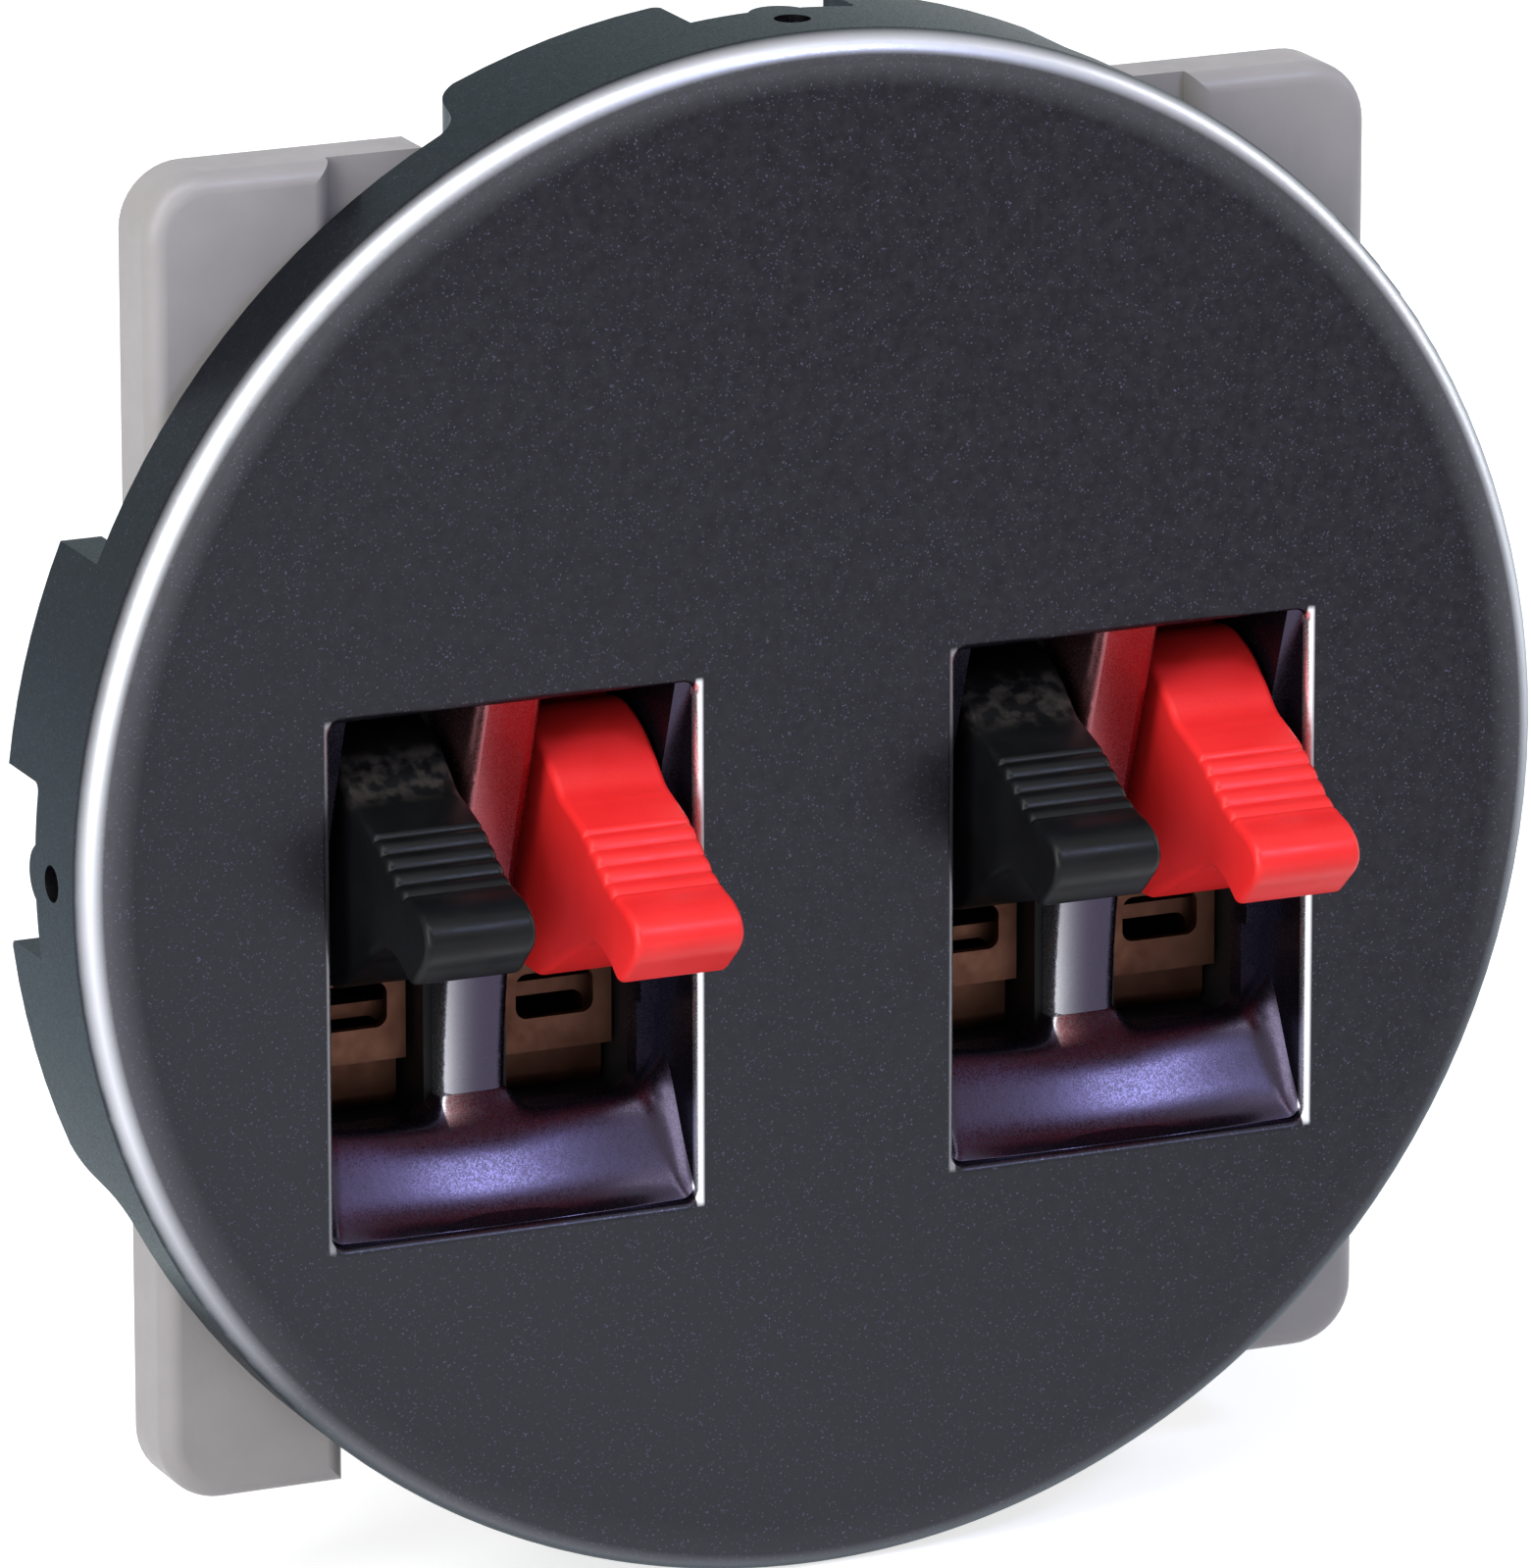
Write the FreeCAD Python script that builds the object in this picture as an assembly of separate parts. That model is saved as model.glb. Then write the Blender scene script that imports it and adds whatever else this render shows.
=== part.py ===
import FreeCAD, Part
import math
import os

# Two-channel loudspeaker terminal for a round wall plate.
# Millimetres. X to the right, Z up, the face looks towards -Y.
# Depths are counted from the face of the cap towards the wall. The origin is on the
# cap's axis, on the back of the carrier frame, which seats on the wall box.

Vec = FreeCAD.Vector

# Front cap
cap_margin = 5.479
cap_plate = 2.0
cap_edge_round = 1.2
skirt_wall = 1.6
skirt_inner_round = 0.6
skirt_depth = 4.5
skirt_step = 0.7
tab_length = 4.0
tab_from_angle = 6.5
tab_to_angle = 23.0
tab_corner_round = 0.4
tab_fade = 2.2
eyelet_radius = 1.3
eyelet_hole_radius = 0.75
eyelet_depth = 3.4

# Windows in the cap
window_side_gap = 1.015
window_above_lever = 0.68
window_corner = 0.5
window_lip_round = 0.35
tunnel_wall = 1.2
ramp_rise = 3.49
ramp_shelf = 1.0
ramp_sag = 0.45
opening_corner_round = 0.8
rib_width = 2.9
rib_side_gap = 0.7
rib_top_setback = 0.35
rib_foot_setback = 0.1
rib_edge_round = 0.5
side_rib_width = 0.8
side_rib_end = 8.2

# Carrier frame
frame_side_margin = 5.245
frame_end_margin = 7.05
frame_corner = 2.6
frame_thickness = 3.2
frame_pad_rise = 1.0
frame_pad_width = 7.9
frame_pad_height = 12.5
frame_edge_round = 0.8
frame_notch_setback = 4.2
frame_notch_depth = 1.7
frame_clearance = 0.4
frame_recess = 0.5
frame_recess_gap = 0.3
screw_boss_gap = 1.6
screw_boss_skin = 0.8

# Terminal housings
housing_gap = 9.9
housing_wall = 1.4
housing_roof = 1.5
housing_floor = 1.6
housing_flange = 1.3
housing_flange_thickness = 1.1
housing_back_wall = 1.5
housing_clearance = 0.15
bay_corner = 0.8
bay_mouth_depth = 1.0
seat_gap = 0.05

# Levers, in the position of a black one at rest
lever_width = 4.72
lever_side_clearance = 0.35
pivot_behind_bend = 0.6
lever_pivot_height = 3.2
lever_hub_radius = 2.25
lever_top = 5.45
lever_bottom = -5.6
lever_stop_gap = 0.12
stop_lip_length = 3.0
lever_shoulder_setback = 0.15
lever_nose_reach = 6.8
lever_nose_top = -0.15
lever_nose_bulge = 0.7
lever_nose_middle = 0.65
lever_nose_height = 1.4
lever_chin_depth = -5.45
lever_chin_height = -3.2
lever_chin_round = 0.45
lever_foot_reach = 2.2
lever_foot_length = 5.0
lever_foot_rise = 1.2
thumb_curve = (
    (0.11, 0.04),
    (0.22, 0.16),
    (0.32, 0.33),
    (0.4, 0.47),
    (0.46, 0.52),
    (0.52, 0.56),
    (0.6, 0.62),
    (0.7, 0.75),
    (0.8, 0.88),
    (0.87, 0.93),
    (0.95, 0.96),
)
hollow_curve = ((0.127, -0.224), (0.314, -0.388), (0.51, -0.286), (0.706, 0.061), (0.873, 0.571))
ridge_count = 5
ridge_pitch = 0.68
ridge_groove_radius = 0.3
ridge_first_depth = -2.2
ridge_above_thumb = 0.12
red_rest_tilt = 2.9
lever_pin_radius = 0.8
running_clearance = 0.05

# Contacts
strip_thickness = 0.8
strip_behind_leaf = 0.7
strip_side_gap = 0.2
strip_below_ramp = 0.49
lug_width = 2.8
lug_length = 6.0
lug_corner = 1.0
lug_hole_radius = 0.7
lug_hole_inset = 1.8
leaf_thickness = 0.4
leaf_setback = 1.35
leaf_foot_gap = 0.6
leaf_corner = 0.4
leaf_gap = 0.02
leaf_travel = 1.7
wire_slot_width = 3.4
wire_slot_height = 1.9
wire_slot_corner = 0.5
wire_slot_below_arm = 0.8
wire_slot_rim = 0.6
wire_slot_sill = 2.17
tongue_rim = 1.4
rivet_radius = 0.7
rivet_head_radius = 1.2
rivet_head_height = 0.4
rivet_behind_strip = 3.9
bend_behind_rivet = 1.6
bay_behind_bend = 0.5

# Rear body
body_wall = 1.3
body_back_wall = 1.6
body_flange_thickness = 1.6
body_collar_length = 8.5
body_tail_inset = 1.6
body_edge_round = 1.0
body_ear_radius = 3.0
body_screw_spacing = 16.0
body_screw_clear = 2.8
lug_slot_clearance = 0.1
fence_thickness = 1.2
fence_length = 4.0
fence_height = 6.0

# Fixing screws
cap_post_radius = 2.4
cap_post_beside_pad = 3.3
cap_post_below_window = 4.81
cap_screw_radius = 1.0
cap_screw_tip_gap = 1.4
screw_head_radius = 2.1
screw_head_height = 1.2
screw_head_clearance = 0.2
body_screw_radius = 1.05
body_screw_tip_gap = 0.8
body_boss_radius = 2.2
slot_width = 0.6
slot_depth = 0.7

# Places that follow from the sizes above
pad_front = skirt_depth + skirt_step + frame_clearance
frame_back = pad_front + frame_thickness
body_seat = frame_back - frame_recess
frame_front = pad_front + frame_pad_rise
tunnel_depth = frame_front - housing_flange_thickness - 2 * seat_gap
ramp_shelf_front = tunnel_depth - ramp_shelf
lever_pitch = lever_width + rib_width + 2 * rib_side_gap
bay_half_width = lever_width / 2 + lever_side_clearance
strip_width = 2 * (bay_half_width - strip_side_gap)
housing_half_width = lever_pitch / 2 + bay_half_width + housing_wall
window_width = lever_pitch + lever_width + 2 * window_side_gap
window_pitch = 2 * housing_half_width + housing_gap
window_outer = (window_pitch + window_width) / 2
wire_slot_top = lever_bottom - leaf_gap - leaf_thickness - wire_slot_below_arm - leaf_travel
strip_upright_top = wire_slot_top + wire_slot_rim
bay_floor = wire_slot_top - wire_slot_height - wire_slot_sill
strip_top = bay_floor + strip_thickness
window_top = lever_top + window_above_lever
ramp_top = bay_floor + strip_below_ramp
window_bottom = ramp_top - ramp_rise
cap_radius = math.hypot(window_outer, window_bottom) + cap_margin
cap_post_z = cap_post_below_window - window_bottom
frame_width = 2 * (window_outer + frame_side_margin)
frame_height = 2 * (cap_post_z + frame_end_margin)
frame_notch_width = frame_width - 2 * (frame_pad_width + frame_notch_setback)
cap_post_x = frame_width / 2 - frame_pad_width - cap_post_beside_pad
boss_hole_front = cap_plate + screw_boss_gap + screw_boss_skin
housing_front = tunnel_depth + seat_gap
leaf_front = housing_front + leaf_setback
strip_front = leaf_front + leaf_thickness + strip_behind_leaf
rivet_depth = strip_front + strip_thickness + rivet_behind_strip
leaf_bend_depth = rivet_depth + rivet_head_radius + bend_behind_rivet
lever_pivot_depth = leaf_bend_depth + pivot_behind_bend
lever_shoulder_depth = housing_front + lever_shoulder_setback
lever_foot_front = leaf_front - lever_foot_reach
lever_foot_back = lever_foot_front + lever_foot_length
bay_back = leaf_bend_depth + (lever_bottom - leaf_gap - strip_top) / 2 + bay_behind_bend
housing_back = bay_back + housing_back_wall
housing_top = lever_top + lever_stop_gap + housing_roof
housing_bottom = bay_floor - housing_floor
flange_back = housing_front + housing_flange_thickness
body_inner_back = housing_back + housing_clearance
body_top = housing_top + housing_clearance + body_wall
body_bottom = housing_bottom - housing_clearance - body_wall
body_half_width = window_pitch / 2 + housing_half_width + housing_clearance + body_wall
body_tail_half = window_pitch / 2 + housing_half_width - body_tail_inset
body_back = body_inner_back + body_back_wall
lug_back = body_back + lug_length
sides = {"left": -1, "right": 1}
colours = {"black": -1, "red": 1}
corners = {"upper_left": (-1, 1), "upper_right": (1, 1), "lower_left": (-1, -1), "lower_right": (1, -1)}


def box(x0, x1, d0, d1, z0, z1):
    return Part.makeBox(x1 - x0, d1 - d0, z1 - z0, Vec(x0, d0, z0))


def rod_x(radius, x0, x1, depth, height):
    return Part.makeCylinder(radius, x1 - x0, Vec(x0, depth, height), Vec(1, 0, 0))


def rod_y(radius, d0, d1, x, height):
    return Part.makeCylinder(radius, d1 - d0, Vec(x, d0, height), Vec(0, 1, 0))


def rod_z(radius, z0, z1, x, depth):
    return Part.makeCylinder(radius, z1 - z0, Vec(x, depth, z0), Vec(0, 0, 1))


def edges_along(shape, axis, keep=None):
    # straight edges parallel to one axis, all of them or those that keep accepts
    found = []
    for edge in shape.Edges:
        if not isinstance(edge.Curve, Part.Line):
            continue
        if abs(abs(edge.tangentAt(edge.FirstParameter).dot(axis)) - 1) > 1e-6:
            continue
        if keep is None or keep(edge.CenterOfMass):
            found.append(edge)
    return found


def rounded_plate(x0, x1, d0, d1, z0, z1, corner):
    plate = box(x0, x1, d0, d1, z0, z1)
    return plate.makeFillet(corner, edges_along(plate, Vec(0, 1, 0)))


def side_profile(outline, x0, x1):
    # a closed outline in depth and height, drawn across the width from x0 to x1
    face = Part.Face(Part.Wire(outline))
    face.translate(Vec(x0, 0, 0))
    return face.extrude(Vec(x1 - x0, 0, 0))


def at(depth, height, x=0.0):
    return Vec(x, depth, height)


def line(a, b):
    return Part.LineSegment(a, b).toShape()


def arc(a, mid, b):
    return Part.Arc(a, mid, b).toShape()


def smooth(points):
    curve = Part.BSplineCurve()
    curve.interpolate(points)
    return curve.toShape()


def window_centre(side):
    return sides[side] * window_pitch / 2


def lever_centre(side, colour):
    return window_centre(side) + colours[colour] * lever_pitch / 2


def rest_tilt(colour):
    return red_rest_tilt if colour == "red" else 0.0


def tilt(shape, degrees):
    shape.rotate(Vec(0, lever_pivot_depth, lever_pivot_height), Vec(1, 0, 0), degrees)
    return shape


def tilted_height(height, depth, degrees):
    # height at a depth of a level line of the lever once the lever is tilted
    angle = math.radians(degrees)
    drop = (height - lever_pivot_height) / math.cos(angle)
    return lever_pivot_height + drop + (depth - lever_pivot_depth) * math.tan(angle)


def slotted_head(head, x, depth, height):
    # screwdriver slot across the outer face of a head that looks to the back
    reach = 2 * screw_head_radius
    half = slot_width / 2
    return head.cut(box(x - reach, x + reach, depth - slot_depth, depth + 1, height - half, height + half))


# Front cap


def cap_shell():
    r = cap_radius
    e = cap_edge_round
    inner = r - skirt_wall
    f = skirt_inner_round
    root = math.sqrt(0.5)
    outline = [
        line(Vec(0, 0, 0), Vec(r - e, 0, 0)),
        arc(Vec(r - e, 0, 0), Vec(r - e + e * root, e - e * root, 0), Vec(r, e, 0)),
        line(Vec(r, e, 0), Vec(r, skirt_depth, 0)),
        line(Vec(r, skirt_depth, 0), Vec(inner, skirt_depth, 0)),
        line(Vec(inner, skirt_depth, 0), Vec(inner, cap_plate + f, 0)),
        arc(
            Vec(inner, cap_plate + f, 0),
            Vec(inner - f + f * root, cap_plate + f - f * root, 0),
            Vec(inner - f, cap_plate, 0),
        ),
        line(Vec(inner - f, cap_plate, 0), Vec(0, cap_plate, 0)),
        line(Vec(0, cap_plate, 0), Vec(0, 0, 0)),
    ]
    face = Part.Face(Part.Wire(outline))
    return face.revolve(Vec(0, 0, 0), Vec(0, 1, 0), 360)


def skirt_ring(d0, d1):
    outer = rod_y(cap_radius, d0, d1, 0, 0)
    return outer.cut(rod_y(cap_radius - skirt_wall, d0 - 1, d1 + 1, 0, 0))


def tab_outline():
    # two tabs and the eyelet between them, drawn flat across the left side of the skirt
    root = skirt_depth - 0.5
    step = skirt_depth + skirt_step
    tip = skirt_depth + tab_length
    near = cap_radius * math.sin(math.radians(tab_from_angle))
    far = cap_radius * math.sin(math.radians(tab_to_angle))
    c = tab_corner_round
    back = math.sqrt(0.5)
    upper = [
        line(at(root, near - 2), at(root, far)),
        line(at(root, far), at(tip, far)),
        line(at(tip, far), at(tip, near)),
        line(at(tip, near), at(step + c, near)),
        arc(at(step + c, near), at(step + c - c * back, near - c + c * back), at(step, near - c)),
        line(at(step, near - c), at(step, near - 2)),
        line(at(step, near - 2), at(root, near - 2)),
    ]
    half = tab_fade / 2
    middle = (tip + skirt_depth) / 2
    lower = [
        line(at(root, 2 - near), at(root, -far - tab_fade)),
        line(at(root, -far - tab_fade), at(skirt_depth, -far - tab_fade)),
        smooth(
            [
                at(skirt_depth, -far - tab_fade),
                at(skirt_depth + 0.35, -far - tab_fade + 0.5),
                at(middle, -far - half),
                at(tip - 0.35, -far - 0.5),
                at(tip, -far),
            ]
        ),
        line(at(tip, -far), at(tip, -near - c)),
        arc(at(tip, -near - c), at(tip - c + c * back, -near - c + c * back), at(tip - c, -near)),
        line(at(tip - c, -near), at(step, -near)),
        line(at(step, -near), at(step, 2 - near)),
        line(at(step, 2 - near), at(root, 2 - near)),
    ]
    bridge = box(-cap_radius - 1, 0, root, step, -near, near)
    eyelet = rod_x(eyelet_radius, -cap_radius - 1, 0, step - eyelet_radius / 2, 0)
    flat = side_profile(upper, -cap_radius - 1, 0)
    return flat.fuse([side_profile(lower, -cap_radius - 1, 0), bridge, eyelet])


def skirt_tabs():
    ring = skirt_ring(skirt_depth - 0.5, skirt_depth + tab_length + 1)
    return tab_outline().common(ring)


def window_hole(side, grow, d0, d1):
    centre = window_centre(side)
    half = window_width / 2 + grow
    return rounded_plate(
        centre - half, centre + half, d0, d1, window_bottom - grow, window_top + grow, window_corner + grow
    )


def ramp(side):
    # scoop that leads a wire up to the narrow shelf before its opening
    centre = window_centre(side)
    half = window_width / 2 + tunnel_wall / 2
    start = at(window_lip_round, window_bottom)
    end = at(ramp_shelf_front, ramp_top)
    middle = (start + end) * 0.5 + at(ramp_sag, -ramp_sag)
    under = window_bottom - tunnel_wall / 2
    outline = [
        arc(start, middle, end),
        line(end, at(tunnel_depth, ramp_top)),
        line(at(tunnel_depth, ramp_top), at(tunnel_depth, under)),
        line(at(tunnel_depth, under), at(window_lip_round, under)),
        line(at(window_lip_round, under), start),
    ]
    return side_profile(outline, centre - half, centre + half)


def rib_profile(bottom, x0, x1):
    # front edge of a rib runs from the window's top lip back to the wire openings
    top = window_top + tunnel_wall / 2
    reach = ramp_shelf_front + rib_foot_setback - rib_top_setback
    span = window_top - ramp_top
    front = [at(rib_top_setback, top), at(rib_top_setback, window_top)]
    for share in (0.25, 0.46, 0.66, 0.82, 1.0):
        height = window_top - share * span
        if height > bottom:
            front.append(at(rib_top_setback + reach * math.sin(share * math.pi / 2), height))
    last = front[-1]
    outline = [
        smooth(front[1:]),
        line(front[1], front[0]),
        line(front[0], at(tunnel_depth, top)),
        line(at(tunnel_depth, top), at(tunnel_depth, bottom)),
        line(at(tunnel_depth, bottom), at(last.y, bottom)),
        line(at(last.y, bottom), last),
    ]
    return side_profile(outline, x0, x1)


def front_edges(rib):
    # the two long edges down the front of a rib
    found = []
    for edge in rib.Edges:
        limits = edge.BoundBox
        if limits.XLength < 1e-6 and limits.YMax < tunnel_depth - 0.1:
            found.append(edge)
    return found


def centre_rib(side):
    centre = window_centre(side)
    x0 = centre - rib_width / 2
    x1 = centre + rib_width / 2
    rib = rib_profile(window_bottom, x0, x1)
    return rib.makeFillet(rib_edge_round, front_edges(rib))


def side_ribs(side):
    # each side rib goes on to the ramp as a low strip beside the opening
    centre = window_centre(side)
    half = window_width / 2
    ribs = []
    for way in (-1, 1):
        wall = centre + way * (half + tunnel_wall / 2)
        inner = centre + way * (half - side_rib_width)
        x0 = min(wall, inner)
        x1 = max(wall, inner)
        ribs.append(rib_profile(-side_rib_end, x0, x1))
        ribs.append(box(x0, x1, ramp_shelf_front, tunnel_depth, window_bottom, 0.5 - side_rib_end))
        ribs.append(opening_corner(inner, -way))
        ribs.append(opening_corner(centre + way * rib_width / 2, way))
    return ribs


def opening_corner(wall, way):
    # rounded lower corner of an opening: a square block less a quarter of a rod
    r = opening_corner_round
    far = wall + way * r
    block = box(min(wall, far), max(wall, far), ramp_shelf_front, tunnel_depth, ramp_top - 0.1, ramp_top + r)
    return block.cut(rod_y(r, ramp_shelf_front - 1, tunnel_depth + 1, far, ramp_top + r))


def cap_post(corner):
    across, up = corners[corner]
    end = frame_front - seat_gap
    return rod_y(cap_post_radius, cap_plate - 0.5, end, across * cap_post_x, up * cap_post_z)


def cap_post_hole(corner):
    across, up = corners[corner]
    radius = cap_screw_radius + running_clearance
    return rod_y(radius, cap_plate + 0.7, frame_back, across * cap_post_x, up * cap_post_z)


def front_cap():
    cap = cap_shell()
    tabs = skirt_tabs()
    added = []
    for turn in range(4):
        copy = tabs.copy()
        copy.rotate(Vec(0, 0, 0), Vec(0, 1, 0), 90 * turn)
        added.append(copy)
    for side in sides:
        added.append(window_hole(side, tunnel_wall, cap_plate / 2, tunnel_depth))
    for corner in corners:
        added.append(cap_post(corner))
    cap = cap.fuse(added)
    for side in sides:
        cap = cap.cut(window_hole(side, 0, -1, tunnel_depth + 1))
    cap = cap.removeSplitter()
    inside = cap_radius - cap_margin / 2
    front = [e for e in cap.Edges if e.BoundBox.YMax < 1e-6]
    lip = [e for e in front if e.BoundBox.XMax < inside and e.BoundBox.XMin > -inside]
    cap = cap.makeFillet(window_lip_round, lip)
    for side in sides:
        cap = cap.fuse([ramp(side), centre_rib(side)] + side_ribs(side))
    for corner in corners:
        cap = cap.cut(cap_post_hole(corner))
    for turn in range(4):
        hole = rod_x(eyelet_hole_radius, -cap_radius - 1, skirt_wall + 2 - cap_radius, eyelet_depth, 0)
        hole.rotate(Vec(0, 0, 0), Vec(0, 1, 0), 90 * turn)
        cap = cap.cut(hole)
    return cap.removeSplitter()


# Carrier frame


def body_screw_places():
    upper = housing_top + housing_flange + body_screw_clear
    lower = window_bottom - tunnel_wall - body_screw_clear
    half = body_screw_spacing / 2
    return {
        "upper_left": (-half, upper),
        "upper_right": (half, upper),
        "lower_left": (-half, lower),
        "lower_right": (half, lower),
    }


def housing_outline(side, grow, d0, d1):
    centre = window_centre(side)
    half = housing_half_width + grow
    return box(centre - half, centre + half, d0, d1, housing_bottom - grow, housing_top + grow)


def frame_back_recess():
    # shallow seat for the rear body and its ears, so that only the frame touches the wall box
    gap = frame_recess_gap
    wide = body_half_width + gap
    reach = body_screw_spacing / 2 + body_ear_radius + gap
    places = body_screw_places()
    ear_top = places["upper_left"][1] + body_ear_radius + gap
    ear_bottom = places["lower_left"][1] - body_ear_radius - gap
    seat = box(-wide, wide, body_seat, frame_back + 1, body_bottom - gap, body_top + gap)
    return seat.fuse(box(-reach, reach, body_seat, frame_back + 1, ear_bottom, ear_top)).removeSplitter()


def frame_pads():
    pads = []
    width = frame_width / 2
    height = frame_height / 2
    for across, up in corners.values():
        x = sorted((across * width, across * (width - frame_pad_width)))
        z = sorted((up * height, up * (height - frame_pad_height)))
        pads.append(box(x[0], x[1], pad_front, frame_back, z[0], z[1]))
    return pads


def carrier_frame():
    width = frame_width / 2
    height = frame_height / 2
    base = box(-width, width, frame_front, frame_back, -height, height)
    for up in (-1, 1):
        half = frame_notch_width / 2
        if up < 0:
            half = width - frame_pad_width
        z = sorted((up * height, up * (height - frame_notch_depth)))
        base = base.cut(box(-half, half, frame_front - 1, frame_back + 1, z[0], z[1]))
    frame = base.fuse(frame_pads()).removeSplitter()
    outer = edges_along(
        frame, Vec(0, 1, 0), lambda c: abs(abs(c.x) - width) < 1e-3 and abs(abs(c.z) - height) < 1e-3
    )
    frame = frame.makeFillet(frame_corner, outer)
    rim = [e for e in frame.Edges if abs(e.BoundBox.YMax - pad_front) < 1e-4]
    frame = frame.makeFillet(frame_edge_round, rim)
    bosses = []
    for x, z in body_screw_places().values():
        bosses.append(rod_y(body_boss_radius, cap_plate + screw_boss_gap, frame_front + 0.5, x, z))
    frame = frame.fuse(bosses)
    frame = frame.cut(frame_back_recess())
    for side in sides:
        frame = frame.cut(housing_outline(side, housing_clearance, frame_front - 1, frame_back + 1))
        room = housing_flange + housing_clearance
        frame = frame.cut(housing_outline(side, room, pad_front - 1, frame_front))
    for x, z in body_screw_places().values():
        frame = frame.cut(rod_y(body_screw_radius + running_clearance, boss_hole_front, frame_back + 1, x, z))
    for across, up in corners.values():
        x = across * cap_post_x
        z = up * cap_post_z
        head = frame_back - screw_head_height - seat_gap
        frame = frame.cut(rod_y(cap_screw_radius + 0.15, pad_front - 1, frame_back + 1, x, z))
        frame = frame.cut(rod_y(screw_head_radius + screw_head_clearance, head, frame_back + 1, x, z))
    return frame.removeSplitter()


# Terminal housings


def lever_bay(side, colour):
    # the roof's front lip is lower and is the lever's stop
    centre = lever_centre(side, colour)
    x0 = centre - bay_half_width
    x1 = centre + bay_half_width
    lip_back = housing_front + stop_lip_length
    lip = tilted_height(lever_top, lip_back, rest_tilt(colour)) + lever_stop_gap
    mouth = box(x0, x1, housing_front - 1, housing_front + bay_mouth_depth, bay_floor, lip)
    low = edges_along(mouth, Vec(0, 1, 0), lambda c: c.z < bay_floor + 0.01)
    mouth = mouth.makeFillet(bay_corner, low)
    front = box(x0, x1, housing_front + bay_mouth_depth, lip_back, bay_floor, lip)
    back = box(x0, x1, lip_back, bay_back, bay_floor, lever_top + lever_stop_gap)
    return mouth.fuse([front, back]).removeSplitter()


def terminal_housing(side):
    block = housing_outline(side, 0, housing_front, housing_back)
    block = block.makeFillet(bay_corner, edges_along(block, Vec(0, 1, 0)))
    flange = housing_outline(side, housing_flange, housing_front, flange_back)
    flange = flange.makeFillet(bay_corner, edges_along(flange, Vec(0, 1, 0)))
    housing = block.fuse(flange)
    for colour in colours:
        centre = lever_centre(side, colour)
        half = strip_width / 2 + seat_gap
        housing = housing.cut(lever_bay(side, colour))
        slot_top = strip_top + seat_gap
        end = housing_back + 1
        housing = housing.cut(box(centre - half, centre + half, bay_back - 1, end, bay_floor, slot_top))
    x0 = window_centre(side) - housing_half_width - 1
    x1 = window_centre(side) + housing_half_width + 1
    pin = rod_x(lever_pin_radius + 0.02, x0, x1, lever_pivot_depth, lever_pivot_height)
    return housing.cut(pin).removeSplitter()


# Levers


def between(start, end, shares):
    # points part of the way from start to end, in depth and in height
    return [
        at(start.y + (end.y - start.y) * along, start.z + (end.z - start.z) * down) for along, down in shares
    ]


def lever_outline():
    nose = -lever_nose_reach
    hub = at(lever_pivot_depth, lever_pivot_height)
    hub_top = hub + at(0, lever_hub_radius)
    hub_back = hub + at(lever_hub_radius, 0)
    hub_front = hub - at(lever_hub_radius, 0)
    shoulder = at(lever_shoulder_depth, lever_top)
    nose_top = at(nose, lever_nose_top)
    nose_mid = at(nose - lever_nose_bulge, lever_nose_top - lever_nose_middle)
    nose_low = at(nose - lever_nose_bulge / 2, lever_nose_top - lever_nose_height)
    chin = at(lever_chin_depth, lever_chin_height)
    chin_front = chin + at(-lever_chin_round, lever_chin_round * 0.6)
    chin_mid = chin + at(-lever_chin_round * 0.6, lever_chin_round * 0.15)
    foot = at(lever_foot_front, lever_bottom)
    heel = at(lever_foot_back, lever_bottom)
    rise = heel + at(lever_foot_rise, lever_foot_rise)
    return [
        line(hub_top, shoulder),
        smooth([shoulder] + between(shoulder, nose_top, thumb_curve) + [nose_top]),
        arc(nose_top, nose_mid, nose_low),
        line(nose_low, chin_front),
        arc(chin_front, chin_mid, chin),
        smooth([chin] + between(chin, foot, hollow_curve) + [foot]),
        line(foot, heel),
        line(heel, rise),
        line(rise, hub_front),
        arc(hub_front, hub_back, hub_top),
    ]


def ridge_grooves(x0, x1):
    shoulder = at(lever_shoulder_depth, lever_top)
    upper, lower = between(shoulder, at(-lever_nose_reach, lever_nose_top), thumb_curve)[6:9:2]
    slope = (upper.z - lower.z) / (upper.y - lower.y)
    grooves = []
    for number in range(ridge_count):
        depth = ridge_first_depth - number * ridge_pitch
        height = lower.z + (depth - lower.y) * slope + ridge_above_thumb
        grooves.append(rod_x(ridge_groove_radius, x0 - 1, x1 + 1, depth, height))
    return grooves


def lever(side, colour):
    centre = lever_centre(side, colour)
    x0 = centre - lever_width / 2
    x1 = centre + lever_width / 2
    body = side_profile(lever_outline(), x0, x1)
    body = body.cut(ridge_grooves(x0, x1))
    hole = lever_pin_radius + running_clearance
    body = body.cut(rod_x(hole, x0 - 1, x1 + 1, lever_pivot_depth, lever_pivot_height))
    return tilt(body, rest_tilt(colour))


def lever_pin(side):
    centre = window_centre(side)
    reach = housing_half_width - seat_gap
    return rod_x(lever_pin_radius, centre - reach, centre + reach, lever_pivot_depth, lever_pivot_height)


# Contacts


def wire_slot(centre, front, back, top):
    half = wire_slot_width / 2
    slot = box(centre - half, centre + half, front - 1, back + 1, top - wire_slot_height, top)
    return slot.makeFillet(wire_slot_corner, edges_along(slot, Vec(0, 1, 0)))


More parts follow.
